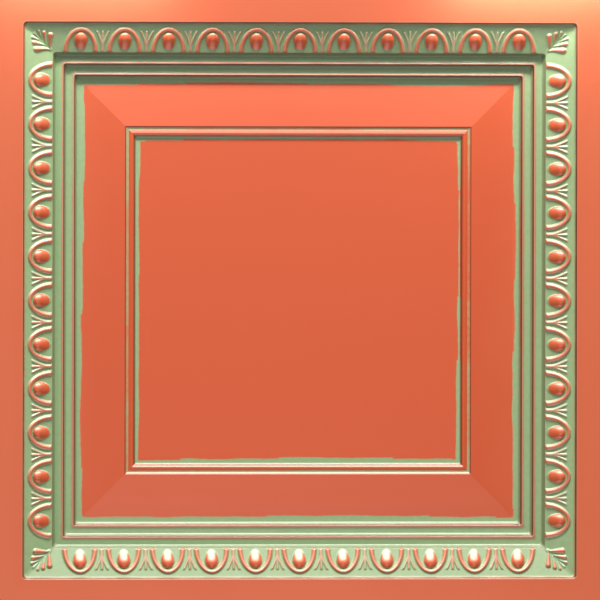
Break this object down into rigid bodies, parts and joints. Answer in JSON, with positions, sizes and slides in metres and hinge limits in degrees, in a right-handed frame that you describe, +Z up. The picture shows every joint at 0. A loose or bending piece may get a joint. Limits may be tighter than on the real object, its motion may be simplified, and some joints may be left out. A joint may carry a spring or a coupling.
{
  "type": "pressed tin ceiling tile",
  "caption": "Square pressed tin ceiling tile: a stepped coffer with an egg-and-dart band, fluted moulding, raised panel and flat border, copper with green patina.",
  "frame": {"origin": "on the floor under the middle of the tile, as it lies face up on its flat middle field", "axes": "+Z up out of the decorated face, X and Y along the sides, +Y towards the top of the picture"},
  "size_m": [0.606, 0.606, 0.0283],
  "materials": {
    "tile_finish": "satin copper paint with brushed green patina"
  },
  "bodies": {
    "root": {"pressed_tile": "tile_finish"}
  },
  "joints": []
}
